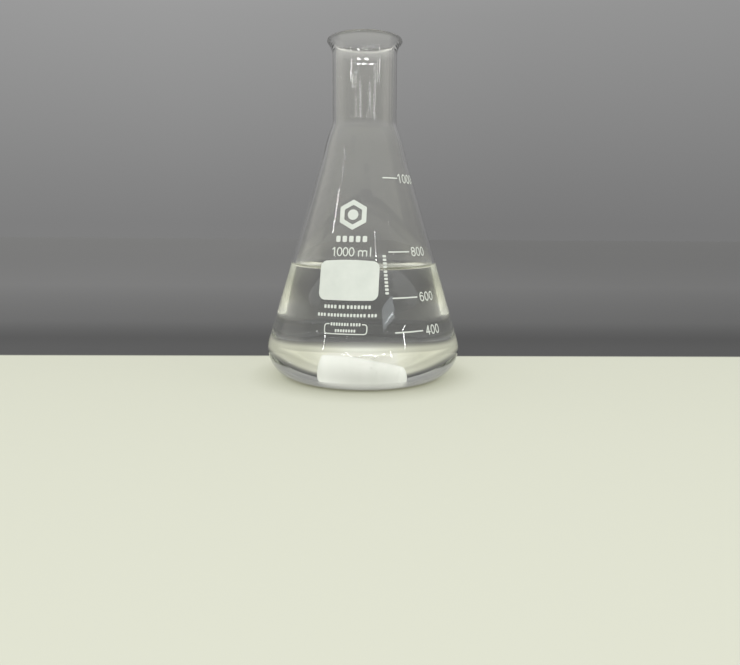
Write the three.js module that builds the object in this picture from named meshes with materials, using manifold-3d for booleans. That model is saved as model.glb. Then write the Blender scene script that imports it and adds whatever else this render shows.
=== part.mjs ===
// A 1000 ml narrow-neck Erlenmeyer flask with its fired white enamel scale, some water in it and a
// magnetic stirring bar on its floor. Millimetres, +Z up; the origin is on the axis, in the plane that
// the flask stands on. The scale is read from -Y, with +X to the right.
import * as THREE from "three";
import { mergeVertices } from "three/addons/utils/BufferGeometryUtils.js";
import Module from "manifold-3d";

const { degToRad } = THREE.MathUtils;

// Glass
const HEIGHT = 220;
const FOOT_RADIUS = 46.35; // outer edge of the flat ring it stands on
const PUSH_UP_RADIUS = 36; // inner edge of that ring
const PUSH_UP = 0.8; // rise of the underside at the axis
const HEEL_RADIUS = 19.1;
const CONE_HALF_ANGLE = degToRad(16.95);
const NECK_RADIUS = 21;
const RIM_RADIUS = 24.25;
const WALL = 2.1;
const NECK_WALL = 2;
const FLOOR_Z = 2.6;
const INNER_HEEL_RADIUS = 17;
const NECK_FILLET = 14;
const SHOULDER_START_Z = 138; // the cone is straight up to here
const SHOULDER_Z = 157; // and a little fuller here, just under the neck
const SHOULDER_FULLNESS = 0.6;
const LIP_RADIUS = 1.5; // bead at the rim
const FLARE_RADIUS = 11;
const TURN_STEPS = 48; // facets round the axis

// Water
const WATER_Z = 73.3;
const CLEARANCE = 0.3; // gap between solids that touch on the real object

// Stirring bar
const BAR_LENGTH = 50;
const BAR_RADIUS = 4;
const BAR_END_RADIUS = 2.5;
const BAR_YAW = degToRad(-19);
const BAR_Y = -7; // it lies over the stirrer's magnet, a little in front of the flask's axis
const MAGNET_RADIUS = 2.4;
const MAGNET_LENGTH = 40;
const PLUG_LENGTH = 4.4;
const BAR_Z = FLOOR_Z + CLEARANCE + BAR_RADIUS;

// Enamel
const ENAMEL_GAP = 0.12; // between the glass and the enamel's inner face
const ENAMEL_THICKNESS = 0.25;
const BAND_STEP = 2.5; // longest straight stretch of enamel round the cone
const DIGIT_HEIGHT = 6.1;
const DIGIT_WIDTH = 3.85;
const DIGIT_PITCH = 4.5;
const STROKE = 0.78;

// Writing panel: centre azimuth and height, size, corner radius
const PANEL = { azimuth: -11.2, z: 69.05, width: 37.6, height: 25.2, corner: 4.2 };
// Graduation lines: volume, height, azimuth of the line's left end, its length, azimuth of the number
const GRADUATIONS = [
  { volume: 400, z: 37.9, azimuth: 17.8, length: 20.2, number: 39.2 },
  { volume: 600, z: 58.2, azimuth: 18.3, length: 17.9, number: 39.3 },
  { volume: 800, z: 85.8, azimuth: 18.5, length: 15.2, number: 39.4 },
  { volume: 1000, z: 131.2, azimuth: 20, length: 11, number: 39.5 },
];
const LINE_WIDTH = 0.9;
// Capacity marking: a slightly smaller row of the same glyphs, with centres this far from its middle
const CAPACITY = {
  text: "1000ml", azimuth: -10.2, z: 85.9, scale: 0.95, centres: [-11.1, -7.4, -3.6, 0.2, 7, 11.8],
};
const EMBLEM = { azimuth: -10.5, z: 108.3, radius: 9.6, stroke: 2.9, dot: 3.3 };
// Plain bars where printed words stand: centre azimuth, height, length, bar width
const WORD_BARS = [
  { name: "title_bar", azimuth: -10.7, z: 93.6, length: 19.4, width: 3.6 },
  { name: "origin_bar", azimuth: -11, z: 53.2, length: 29, width: 2.2 },
  { name: "address_bar", azimuth: -11.1, z: 48.3, length: 37, width: 2 },
  { name: "code_title_bar", azimuth: -11.3, z: 43, length: 18.4, width: 1.9 },
  { name: "code_number_bar", azimuth: -11.3, z: 39.3, length: 12.6, width: 1.7 },
];
const NOTE_BAR = { azimuth: 14.9, z: 72.3, length: 24.5, width: 2.3 }; // runs up the cone
const BRACKET = {
  azimuth: -11.25, z: 40.2, width: 26.2, height: 5.9, corner: 1.7, reach: 2.8, stroke: 0.65,
};

const glass = new THREE.MeshStandardMaterial({
  color: 0xdfe6df, roughness: 0.03, metalness: 0, transparent: true, opacity: 0.35,
});
const enamel = new THREE.MeshStandardMaterial({ color: 0xe9ebe6, roughness: 0.45, metalness: 0 });
const water = new THREE.MeshStandardMaterial({
  color: 0xe4ece8, roughness: 0.02, metalness: 0, transparent: true, opacity: 0.3,
});
const ptfe = new THREE.MeshStandardMaterial({ color: 0xeceeea, roughness: 0.5, metalness: 0 });
const magnetSteel = new THREE.MeshStandardMaterial({ color: 0x55565a, roughness: 0.4, metalness: 1 });

const flask = new THREE.Group();

// --- Profiles: [radius, z] points as Vector2 ---

function arc(centreR, centreZ, radius, from, to, steps) {
  return Array.from({ length: steps + 1 }, (_, i) => {
    const angle = from + ((to - from) * i) / steps;
    return new THREE.Vector2(centreR + radius * Math.cos(angle), centreZ + radius * Math.sin(angle));
  });
}

const coneSin = Math.sin(CONE_HALF_ANGLE);
const coneCos = Math.cos(CONE_HALF_ANGLE);
// A point is on the cone's outside where r * coneCos + z * coneSin equals coneReach.
const coneReach = FOOT_RADIUS * coneCos + HEEL_RADIUS * coneSin + HEEL_RADIUS;

function coneRadius(z, inset = 0) {
  return (coneReach - inset - z * coneSin) / coneCos;
}

// The hollow fillet where a cone inset from the outside runs into a neck of this radius.
function neckFillet(neckRadius, inset, steps) {
  const radius = NECK_FILLET + inset;
  const centreR = neckRadius + radius;
  const centreZ = (coneReach - inset + radius - centreR * coneCos) / coneSin;
  return arc(centreR, centreZ, radius, Math.PI + CONE_HALF_ANGLE, Math.PI, steps);
}

function shoulder(inset) {
  return [
    new THREE.Vector2(coneRadius(SHOULDER_START_Z, inset), SHOULDER_START_Z),
    new THREE.Vector2(coneRadius(SHOULDER_Z, inset) + SHOULDER_FULLNESS, SHOULDER_Z),
  ];
}

function innerHeel(inset) {
  const radius = INNER_HEEL_RADIUS - inset;
  const z = FLOOR_Z + inset + radius;
  const reach = coneReach - WALL - inset - radius;
  return arc((reach - z * coneSin) / coneCos, z, radius, -Math.PI / 2, CONE_HALF_ANGLE, 8);
}

function glassProfile() {
  const lipR = RIM_RADIUS - LIP_RADIUS;
  const lipZ = HEIGHT - LIP_RADIUS;
  const flareR = NECK_RADIUS + FLARE_RADIUS;
  const flareZ = lipZ - Math.sqrt((FLARE_RADIUS + LIP_RADIUS) ** 2 - (flareR - lipR) ** 2);
  const flareEnd = Math.atan2(lipZ - flareZ, lipR - flareR);
  const innerFlare = FLARE_RADIUS + 2 * LIP_RADIUS;
  const innerR = NECK_RADIUS - NECK_WALL + innerFlare;
  const innerZ = lipZ - Math.sqrt((innerFlare - LIP_RADIUS) ** 2 - (innerR - lipR) ** 2);
  const innerEnd = Math.atan2(lipZ - innerZ, lipR - innerR);
  const outside = [
    new THREE.Vector2(0, PUSH_UP),
    new THREE.Vector2(PUSH_UP_RADIUS, 0),
    ...arc(FOOT_RADIUS, HEEL_RADIUS, HEEL_RADIUS, -Math.PI / 2, CONE_HALF_ANGLE, 10),
    ...shoulder(0),
    ...neckFillet(NECK_RADIUS, 0, 3),
    ...arc(flareR, flareZ, FLARE_RADIUS, Math.PI, flareEnd, 5),
    ...arc(lipR, lipZ, LIP_RADIUS, flareEnd - Math.PI, innerEnd, 7).slice(1),
  ];
  const inside = [
    new THREE.Vector2(0, FLOOR_Z),
    ...innerHeel(0),
    ...shoulder(WALL),
    ...neckFillet(NECK_RADIUS - NECK_WALL, WALL, 3),
    ...arc(innerR, innerZ, innerFlare, Math.PI, innerEnd, 5).slice(0, -1),
  ];
  return [...outside, ...inside.reverse()];
}

function waterProfile() {
  return [
    new THREE.Vector2(0, FLOOR_Z + CLEARANCE),
    ...innerHeel(CLEARANCE),
    new THREE.Vector2(coneRadius(WATER_Z, WALL + CLEARANCE), WATER_Z),
    new THREE.Vector2(0, WATER_Z),
  ];
}

// --- Booleans ---

const wasm = await Module();
wasm.setup();

function toManifold(geometry) {
  const positions = new THREE.BufferGeometry()
    .setAttribute("position", geometry.getAttribute("position"))
    .setIndex(geometry.index);
  const merged = mergeVertices(positions, 1e-5);
  return new wasm.Manifold(new wasm.Mesh({
    numProp: 3,
    vertProperties: merged.getAttribute("position").array,
    triVerts: new Uint32Array(merged.index.array),
  }));
}

function toGeometry(solid) {
  const { vertProperties, triVerts } = solid.getMesh();
  return new THREE.BufferGeometry()
    .setAttribute("position", new THREE.BufferAttribute(Float32Array.from(vertProperties), 3))
    .setIndex(new THREE.BufferAttribute(Uint32Array.from(triVerts), 1));
}

function joined(geometries) {
  return toGeometry(geometries.map(toManifold).reduce((all, next) => all.add(next)));
}

// --- Solids ---

function add(name, geometry, material) {
  const mesh = new THREE.Mesh(geometry, material);
  mesh.name = name;
  flask.add(mesh);
  return mesh;
}

function turned(profile, steps = TURN_STEPS) {
  return new THREE.LatheGeometry(profile, steps).rotateX(Math.PI / 2);
}

// The water round the bar: a round room as wide as the bar's turning circle is left out of it.
function waterGeometry() {
  const recessTop = BAR_Z + BAR_RADIUS + CLEARANCE;
  const recess = new THREE.CylinderGeometry(BAR_LENGTH / 2 + 1, BAR_LENGTH / 2 + 1, recessTop, 40);
  recess.rotateX(Math.PI / 2).translate(0, BAR_Y, recessTop / 2);
  return toGeometry(toManifold(turned(waterProfile())).subtract(toManifold(recess)));
}

// Stirring bar pieces, turned about their own length, which lies across the flask.
function barPiece(name, profile, material) {
  const mesh = add(name, turned(profile, 24).rotateY(Math.PI / 2), material);
  mesh.position.set(0, BAR_Y, BAR_Z);
  mesh.rotation.z = BAR_YAW;
}

function addStirringBar() {
  const half = BAR_LENGTH / 2;
  const shoulder = half - BAR_END_RADIUS;
  const cornerR = BAR_RADIUS - BAR_END_RADIUS;
  const boreRadius = MAGNET_RADIUS + CLEARANCE;
  const boreFloor = -MAGNET_LENGTH / 2 - CLEARANCE;
  const atBore = Math.acos((boreRadius - cornerR) / BAR_END_RADIUS);
  const atPlug = Math.acos((MAGNET_RADIUS - cornerR) / BAR_END_RADIUS);
  barPiece("stir_bar_jacket", [
    new THREE.Vector2(0, -half),
    ...arc(cornerR, -shoulder, BAR_END_RADIUS, -Math.PI / 2, 0, 5),
    ...arc(cornerR, shoulder, BAR_END_RADIUS, 0, atBore, 4),
    new THREE.Vector2(boreRadius, boreFloor),
    new THREE.Vector2(0, boreFloor),
  ], ptfe);
  barPiece("stir_bar_end_plug", [
    new THREE.Vector2(0, half - PLUG_LENGTH),
    new THREE.Vector2(MAGNET_RADIUS, half - PLUG_LENGTH),
    ...arc(cornerR, shoulder, BAR_END_RADIUS, atPlug, Math.PI / 2, 3),
    new THREE.Vector2(0, half),
  ], ptfe);
  barPiece("stir_bar_magnet", [
    new THREE.Vector2(0, -MAGNET_LENGTH / 2),
    new THREE.Vector2(MAGNET_RADIUS, -MAGNET_LENGTH / 2),
    new THREE.Vector2(MAGNET_RADIUS, MAGNET_LENGTH / 2),
    new THREE.Vector2(0, MAGNET_LENGTH / 2),
  ], magnetSteel);
}

// --- Enamel: flat shapes in (u right, v up, t outward), then laid on the cone ---

// Wraps a flat shape round the cone with its (0, 0) at this azimuth in degrees and this height.
function layOnCone(geometry, azimuth, z) {
  const position = geometry.getAttribute("position");
  for (let i = 0; i < position.count; i++) {
    const height = z + position.getY(i) * coneCos;
    const surface = coneRadius(height);
    const angle = degToRad(azimuth) + position.getX(i) / surface;
    const lift = ENAMEL_GAP + position.getZ(i);
    const radius = surface + lift * coneCos;
    position.setXYZ(i, radius * Math.sin(angle), -radius * Math.cos(angle), height + lift * coneSin);
  }
  return geometry;
}

// A flat band along a path of Vector2 points. width(i) is its width at point i.
function band(path, width, closed = false) {
  const count = path.length;
  const vertices = [];
  path.forEach((point, i) => {
    const before = path[closed ? (i + count - 1) % count : Math.max(i - 1, 0)];
    const after = path[closed ? (i + 1) % count : Math.min(i + 1, count - 1)];
    const into = point.clone().sub(before).normalize();
    const out = after.clone().sub(point).normalize();
    const along = into.add(out).normalize();
    const step = after === point ? point.clone().sub(before) : after.clone().sub(point);
    const mitre = along.dot(step.normalize());
    const side = new THREE.Vector2(-along.y, along.x).multiplyScalar(width(i) / 2 / mitre);
    for (const [sign, t] of [[1, 0], [-1, 0], [-1, ENAMEL_THICKNESS], [1, ENAMEL_THICKNESS]])
      vertices.push(point.x + sign * side.x, point.y + sign * side.y, t);
  });
  const index = [];
  for (let i = 0; i < (closed ? count : count - 1); i++) {
    const a = 4 * i;
    const b = 4 * ((i + 1) % count);
    for (let k = 0; k < 4; k++) {
      const next = (k + 1) % 4;
      index.push(a + k, b + next, a + next, a + k, b + k, b + next);
    }
  }
  const last = 4 * (count - 1);
  if (!closed) index.push(0, 1, 2, 0, 2, 3, last, last + 2, last + 1, last, last + 3, last + 2);
  return new THREE.BufferGeometry()
    .setAttribute("position", new THREE.Float32BufferAttribute(vertices, 3))
    .setIndex(index);
}

function straight(from, to) {
  const steps = Math.ceil(from.distanceTo(to) / BAND_STEP);
  return Array.from({ length: steps + 1 }, (_, i) => from.clone().lerp(to, i / steps));
}

function bar(length, width) {
  const path = straight(new THREE.Vector2(-length / 2, 0), new THREE.Vector2(length / 2, 0));
  return band(path, () => width);
}

function panelShape({ width, height, corner }) {
  const left = -width / 2;
  const corners = arc(left + corner, 0, corner, Math.PI, Math.PI / 2, 5);
  const half = [...corners.map((p) => p.x), ...straight(
    new THREE.Vector2(left + corner, 0), new THREE.Vector2(0, 0)).slice(1).map((p) => p.x)];
  const across = [...half, ...half.slice(0, -1).reverse().map((u) => -u)];
  const heightAt = (u) => {
    const past = Math.max(Math.abs(u) - (width / 2 - corner), 0);
    return height - 2 * (corner - Math.sqrt(Math.max(corner ** 2 - past ** 2, 0)));
  };
  return band(across.map((u) => new THREE.Vector2(u, 0)), (i) => heightAt(across[i]));
}

function hexagonRing(radius, stroke) {
  const corners = Array.from({ length: 6 }, (_, i) => {
    const angle = Math.PI / 2 - (i * Math.PI) / 3;
    return new THREE.Vector2(radius * Math.cos(angle), radius * Math.sin(angle));
  });
  const path = corners.flatMap((corner, i) => straight(corner, corners[(i + 1) % 6]).slice(0, -1));
  return band(path, () => stroke, true);
}

// The bracket round the code line: closed below, with short arms turned in over it at the top.
function bracketShape({ width, height, corner, reach, stroke: line }) {
  const edge = width / 2;
  const right = [
    new THREE.Vector2(edge - reach, height / 2),
    ...arc(edge - corner, height / 2 - corner, corner, Math.PI / 2, 0, 4),
    ...arc(edge - corner, corner - height / 2, corner, 0, -Math.PI / 2, 4),
  ];
  const left = right.map((point) => new THREE.Vector2(-point.x, point.y)).reverse();
  const bottom = straight(right.at(-1), left[0]).slice(1, -1);
  return band([...right, ...bottom, ...left], () => line);
}

// --- Glyphs: strokes joined while flat ---

function stroke(...points) {
  return band(points.map(([u, v]) => new THREE.Vector2(u, v)), () => STROKE);
}

function oval(centreV, width, height, from = 0, to = 2 * Math.PI) {
  const whole = to - from >= 2 * Math.PI;
  const steps = Math.ceil((18 * (to - from)) / (2 * Math.PI));
  const path = Array.from({ length: whole ? steps : steps + 1 }, (_, i) => {
    const angle = to - ((to - from) * i) / steps;
    return new THREE.Vector2((width / 2) * Math.cos(angle), centreV + (height / 2) * Math.sin(angle));
  });
  return band(path, () => STROKE, whole);
}

const top = (DIGIT_HEIGHT - STROKE) / 2;
const wide = DIGIT_WIDTH - STROKE;
const side = wide / 2;
const GLYPHS = {
  0: () => [oval(0, wide, 2 * top)],
  1: () => [
    stroke([0.35, -top - STROKE / 2], [0.35, top + STROKE / 2]),
    stroke([-0.95, top - 1], [0.6, top + 0.05]),
  ],
  4: () => [
    stroke([0.6, -top - STROKE / 2], [0.6, top + STROKE / 2]),
    stroke([0.75, top + 0.1], [-side, -1.2]),
    stroke([-side - 0.2, -1.35], [side + 0.3, -1.35]),
  ],
  6: () => [
    oval(-top + 1.65, wide, 3.3),
    oval(0, wide, 2 * top, Math.PI * 0.28, Math.PI * 1.08),
  ],
  8: () => [oval(top - 1.2, wide * 0.86, 2.4), oval(-top + 1.45, wide, 2.9)],
  m: () => [
    stroke([-2.6, -top - STROKE / 2], [-2.6, 1.15]),
    stroke([0, -top - STROKE / 2], [0, 0.35]),
    stroke([2.6, -top - STROKE / 2], [2.6, 0.35]),
    stroke([-2.65, 0.25], [-1.9, 0.75], [-0.8, 0.75], [0.02, 0.05]),
    stroke([-0.05, 0.2], [0.75, 0.75], [1.85, 0.75], [2.62, 0.05]),
  ],
  l: () => [stroke([0, -top - STROKE / 2], [0, top + STROKE / 2])],
};

// A row of glyphs, one node each. centre(i) is how far right of the azimuth glyph i stands.
function addGlyphs(prefix, text, azimuth, z, centre, scale = 1) {
  [...text].forEach((character, i) => {
    const geometry = joined(GLYPHS[character]());
    geometry.scale(scale, scale, 1).translate(centre(i), 0, 0);
    add(`${prefix}_${i + 1}`, layOnCone(geometry, azimuth, z), enamel);
  });
}

function addGraduations() {
  for (const { volume, z, azimuth, length, number } of GRADUATIONS) {
    const line = bar(length, LINE_WIDTH).translate(length / 2, 0, 0);
    add(`graduation_line_${volume}`, layOnCone(line, azimuth, z), enamel);
    const centre = (i) => DIGIT_WIDTH / 2 + i * DIGIT_PITCH;
    addGlyphs(`number_${volume}_digit`, String(volume), number, z, centre);
  }
}

function addCapacity() {
  const { text, azimuth, z, scale, centres } = CAPACITY;
  addGlyphs("capacity_mark", text, azimuth, z, (i) => centres[i], scale);
}

function addPrintedMarks() {
  add("writing_panel", layOnCone(panelShape(PANEL), PANEL.azimuth, PANEL.z), enamel);
  const ring = hexagonRing(EMBLEM.radius - EMBLEM.stroke / 2, EMBLEM.stroke);
  add("emblem_hexagon", layOnCone(ring, EMBLEM.azimuth, EMBLEM.z), enamel);
  const dot = new THREE.CylinderGeometry(EMBLEM.dot, EMBLEM.dot, ENAMEL_THICKNESS, 24);
  dot.rotateX(Math.PI / 2).translate(0, 0, ENAMEL_THICKNESS / 2);
  add("emblem_dot", layOnCone(dot, EMBLEM.azimuth, EMBLEM.z), enamel);
  for (const { name, azimuth, z, length, width } of WORD_BARS)
    add(name, layOnCone(bar(length, width), azimuth, z), enamel);
  const note = bar(NOTE_BAR.length, NOTE_BAR.width).rotateZ(Math.PI / 2);
  add("note_bar", layOnCone(note, NOTE_BAR.azimuth, NOTE_BAR.z), enamel);
  add("code_bracket", layOnCone(bracketShape(BRACKET), BRACKET.azimuth, BRACKET.z), enamel);
}

add("flask_body", turned(glassProfile()), glass);
add("water", waterGeometry(), water);
addStirringBar();
addGraduations();
addCapacity();
addPrintedMarks();

export default flask;
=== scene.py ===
"""The looks of a 1000 ml Erlenmeyer flask with its enamel scale, water and stirring bar.

Lengths are in millimetres until a mesh is made, when MM turns them into metres. The camera, the
lamps and the places in a material are in metres. The frame's origin is on the flask's axis, in the
plane that it stands on. The scale is read from -Y, with +X to the right.
"""

import math

import bpy
import numpy as np
from mathutils import Matrix, Vector


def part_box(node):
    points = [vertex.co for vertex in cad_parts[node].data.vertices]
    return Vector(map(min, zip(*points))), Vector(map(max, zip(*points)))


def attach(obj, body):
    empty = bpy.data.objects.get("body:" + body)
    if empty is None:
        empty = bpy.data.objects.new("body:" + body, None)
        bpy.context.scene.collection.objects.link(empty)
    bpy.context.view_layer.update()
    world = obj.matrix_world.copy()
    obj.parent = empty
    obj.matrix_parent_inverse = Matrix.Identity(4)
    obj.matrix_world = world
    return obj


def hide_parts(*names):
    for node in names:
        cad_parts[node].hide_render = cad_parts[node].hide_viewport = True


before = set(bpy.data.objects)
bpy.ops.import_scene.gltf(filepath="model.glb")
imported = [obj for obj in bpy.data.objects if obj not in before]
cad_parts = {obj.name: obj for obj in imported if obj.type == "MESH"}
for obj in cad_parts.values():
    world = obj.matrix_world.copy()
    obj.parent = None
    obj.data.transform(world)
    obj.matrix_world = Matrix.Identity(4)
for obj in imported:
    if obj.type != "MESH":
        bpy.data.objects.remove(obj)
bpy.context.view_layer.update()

MM = 0.001
SLACK = 0.01  # places as close as this count as one

# --- Driving dimensions ---

# Glass
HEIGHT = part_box("flask_body")[1].z / MM
FOOT_RADIUS = 46.35  # outer edge of the flat ring it stands on
PUSH_UP_RADIUS = 36.0  # inner edge of that ring
PUSH_UP = 0.8  # rise of the underside at the axis
HEEL_RADIUS = 19.1
CONE_HALF_ANGLE = math.radians(16.95)
NECK_RADIUS = 21.0
RIM_RADIUS = 24.25
WALL = 2.1
NECK_WALL = 2.0
FLOOR_Z = 2.6
INNER_HEEL_RADIUS = 17.0
NECK_FILLET = 14.0
SHOULDER_START_Z = 136.0
SHOULDER_END_Z = 168.0
SHOULDER_FULLNESS = 0.62  # the most that the shoulder stands out from the cone
SHOULDER_SKEW = 1.4  # over 1 puts the fullest place in its upper half
LIP_RADIUS = 1.5  # bead at the rim
FLARE_RADIUS = 11.0
FOOT_BAND = 7.0  # height up to which the foot and the heel are rubbed

CONE_SIN = math.sin(CONE_HALF_ANGLE)
CONE_COS = math.cos(CONE_HALF_ANGLE)
# A point is on the cone's outside where r * CONE_COS + z * CONE_SIN equals CONE_REACH.
CONE_REACH = FOOT_RADIUS * CONE_COS + HEEL_RADIUS * CONE_SIN + HEEL_RADIUS
LIP_CENTRE_R = RIM_RADIUS - LIP_RADIUS
LIP_CENTRE_Z = HEIGHT - LIP_RADIUS
BORE_RADIUS = NECK_RADIUS - NECK_WALL

# Waves in the drawn and blown wall: seed, a wave's height times its number in a turn, the fewest and
# the most in a turn, and how many are added up
BROAD_WAVES = (8, 0.06, 3, 14, 6)
STREAKS = (3, 0.10, 9, 52, 14)
FINE_LINES = (5, 0.12, 34, 84, 14)
# Heights between which they set in: none at the first, full at the second
ABOVE_HEEL = (24, 50)
ABOVE_PRINT = (90, 150)
IN_NECK = (150, 165)
BELOW_RIM = (HEIGHT - 6, HEIGHT - 16)
WAVE_DRIFT = 0.02  # the most that a wave turns in a millimetre of height, in radians
STREAKS_OUTSIDE = 0.6  # share of the streaks on the neck's outside
STREAKS_LOW = 0.4  # share of them on the inside of the lower cone
STREAKS_TURN = 1.0  # radians that the inside's streaks are turned from the outside's
LINES_TURN = 2.0

# Facets
TURN_STEPS = 384
BAR_TURN_STEPS = 64
HEEL_STEPS = 64
INNER_HEEL_STEPS = 56
FILLET_STEPS = 8
FLARE_STEPS = 10
LIP_STEPS = 16
BAR_END_STEPS = 10
# Height of a row on each straight wall
ROW_STEP = 3.0
WATER_ROW_STEP = 6.0
BAR_ROW_STEP = 2.5
# Width of a ring on each disc
UNDERSIDE_STEP = 5.0
FLOOR_STEP = 6.0
WATER_TOP_STEP = 5.0
WATER_BOTTOM_STEP = 10.0

# Water
WATER_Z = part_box("water")[1].z / MM
CAPILLARY_LENGTH = 2.73
MENISCUS_SLOPE = math.radians(78)  # how steep the water's surface is where it meets the glass
MENISCUS_RISE = 2 * CAPILLARY_LENGTH * math.sin(MENISCUS_SLOPE / 2)
MENISCUS_ROWS = 26
MENISCUS_CROWDING = 1.5  # over 1 puts more of those rows where the surface is nearly flat
MENISCUS_FIRST = 0.14  # the first row's place in that spread, where the last is 1
MENISCUS_LEAD = 4.0  # width of the plain ring inside the first row
WET_Z = WATER_Z + MENISCUS_RISE  # where the water's edge touches the glass
DRY_Z = WET_Z + 2.0  # above this the glass is dry
WATER_GAP = 0.03  # between the water's side and the glass
WATER_EDGE_SUNK = 0.12  # how far the edge of the water's surface reaches into the glass
WATER_SIDE_TOP = WET_Z - 0.05

# Stirring bar
BAR_LENGTH = 50.0
BAR_RADIUS = 4.0
BAR_END_RADIUS = 3.6
BAR_YAW = math.radians(-19)
BAR_GAP = 0.08  # between the bar and the flask's floor
PLUG_LENGTH = 4.4
SEAM_DEPTH = 0.05  # of the fine groove where the plug meets the jacket
SEAM_SLOPE = 0.1  # length of each side of that groove
SEAM_GAP = 0.03

# Enamel
ENAMEL_SUNK = 0.03  # the fired enamel is part of the glass surface, so its back lies inside it
ENAMEL_PROUD = 0.07
EDGE_SHARE = 0.45  # share of that height left at a mark's edge
FINE_GRID = 0.2  # grid step that a mark's outline is cut from
PANEL_GRID = 0.6
HEXAGON_GRID = 0.35
DOT_GRID = 0.3
STROKE = 0.78
DIGIT_HEIGHT = 6.1
DIGIT_WIDTH = 3.85
DIGIT_PITCH = 4.5
GLYPH_REACH = 2.1  # half the width of the box that a glyph is cut from
WIDE_GLYPH_REACH = 3.2  # the same for the letter m
GLYPH_MARGIN = 0.2
OVAL_STEPS = 28
LINE_WIDTH = 0.9
LINE_CORNER = 0.2
LINE_REACH = 0.5  # half the height of the box that a line is cut from

PANEL = {"azimuth": -11.2, "z": 69.05, "width": 37.6, "height": 25.2, "corner": 4.2, "crown": 1.3}
GRADUATIONS = (
    # volume, height, azimuth of the line's left end, its length, azimuth of the number's left end
    (400, 37.9, 17.8, 20.2, 39.2),
    (600, 58.2, 18.3, 17.9, 39.3),
    (800, 85.8, 18.5, 15.2, 39.4),
    (1000, 131.2, 20.0, 11.0, 39.5),
)
CAPACITY = {
    "text": "1000ml", "azimuth": -10.2, "z": 85.9, "scale": 0.95,
    "centres": (-11.1, -7.4, -3.6, 0.2, 7.0, 11.8),
}
EMBLEM = {"azimuth": -10.5, "z": 108.3, "radius": 9.6, "stroke": 2.9, "dot": 3.3}
# Rows of plain blocks where printed words stand: azimuth, height, length, block height, and the
# number of blocks in each word
WORD_ROWS = {
    "title_bar": (-10.7, 93.6, 19.4, 3.9, (5,)),
    "origin_bar": (-11.0, 53.2, 29.0, 2.2, (4, 2, 7)),
    "address_bar": (-11.1, 48.3, 37.0, 2.0, (3, 12, 3)),
    "code_title_bar": (-11.3, 43.0, 18.4, 1.9, (7, 4)),
    "code_number_bar": (-11.3, 39.3, 12.6, 1.7, (8,)),
}
NOTE_ROW = (14.9, 72.3, 24.5, 2.3, (7, 4))  # runs up the cone
LETTER_GAP = 0.5  # between two blocks, as a share of a block
WORD_GAP = 1.0
BLOCK_CORNER = 0.25
BRACKET = {
    "azimuth": -11.25, "z": 40.2, "width": 26.2, "height": 5.9, "corner": 1.7, "reach": 2.8,
    "stroke": 0.65,
}
BRACKET_MARGIN = 0.5
CORNER_STEPS = 8

# --- Materials ---

GLASS_IOR = 1.473
WATER_IOR = 1.333
WHITE = (1.0, 1.0, 1.0)
GLASS_TINT = (0.985, 0.99, 0.98)
GLASS_SHADE = (0.93, 0.93, 0.92)  # of the light that goes straight through
DRY_TINT = (0.955, 0.955, 0.935)
FOOT_ROUGHNESS = 0.25

# --- Camera, in metres and radians ---

CAMERA_PLACE = (-0.00546, -0.44368, 0.10271)
CAMERA_YAW = 0.0228
CAMERA_PITCH = 0.1657
CAMERA_ROLL = 0.0069
CAMERA_LENS = 31.565  # mm, for a sensor 36 mm wide
CAMERA_SENSOR = 36.0
CAMERA_NEAR = 0.01

# --- Stage ---

FLOOR_HALF_WIDTH = 4000.0
FLOOR_DROP = 0.02  # how far the floor lies under the foot, so that the two don't share a plane
PALE_FLOOR = (0.55, 0.56, 0.485)

# The places below are in metres, and +Y is behind the flask. A range holds its two ends, then the
# values there if they aren't 0 and 1.

# Contact shadow: distance from the axis, and the share of the floor's colour that is left
CONTACT_SHADOW = (
    (0.046, (0.28, 0.27, 0.23)),
    (0.051, (0.40, 0.39, 0.34)),
    (0.056, (0.80, 0.80, 0.77)),
    (0.080, WHITE),
)

# The grey of the backdrop: the range of Y where it sets in
BACKDROP_START = (0.056, 0.060)
BACKDROP_DEPTH = 4.0
# Its grey, at shares of that depth
BACKDROP_GREYS = (
    (0.022, 0.086), (0.034, 0.080), (0.045, 0.095), (0.06, 0.12), (0.16, 0.170), (0.5, 0.190), (1.0, 0.202),
)
BACKDROP_SIDEWAYS = (-0.5, 0.5, 1.12, 0.98)  # range of X, and the grey's factor at its ends
BACKDROP_TINT = (0.985, 0.985, 1.02)

# The light that the water gathers on the floor behind the foot
GATHERED_NARROWS = 0.056  # Y from where it narrows
GATHERED_WIDTH = (0.058, 0.030)  # range of the distance sideways
# Its share along Y
GATHERED_ALONG = (
    (0.026, 0.0), (0.038, 1.0), (0.061, 1.0), (0.069, 0.45), (0.080, 0.18), (0.10, 0.0),
)
# Its colour by the distance sideways
GATHERED_COLOURS = (
    (0.004, (0.84, 0.85, 0.80)),
    (0.013, (0.72, 0.72, 0.65)),
    (0.026, (0.50, 0.50, 0.43)),
    (0.05, (0.48, 0.48, 0.41)),
)
GATHERED_CLOSE = (0.050, 0.046, 1.0, 1.45)  # range of Y, and the colour's factor at its ends
GATHERED_MOST = (0.93, 0.93, 0.88)  # the palest that it gets

# --- World: colours by the height Z of a direction, from the horizon up ---

WORLD_BEHIND = (
    (0.0, (0.195, 0.195, 0.195)),
    (0.06, (0.215, 0.215, 0.215)),
    (0.28, (0.30, 0.30, 0.30)),
    (0.45, (0.40, 0.40, 0.40)),
    (0.7, (1.0, 1.0, 0.94)),
    (1.0, (1.0, 1.0, 0.93)),
)
WORLD_FRONT = (
    (0.0, (0.43, 0.43, 0.39)),
    (0.3, (0.64, 0.64, 0.58)),
    (0.6, (0.9, 0.9, 0.9)),
    (1.0, (1.3, 1.3, 1.2)),
)
WORLD_TURN = (0.3, -0.2)  # Y of a direction: behind at the first, front at the second
WORLD_SIDEWAYS = (-0.25, 0.25, 1.09, 0.98)  # range of X, and the factor at its ends
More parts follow.
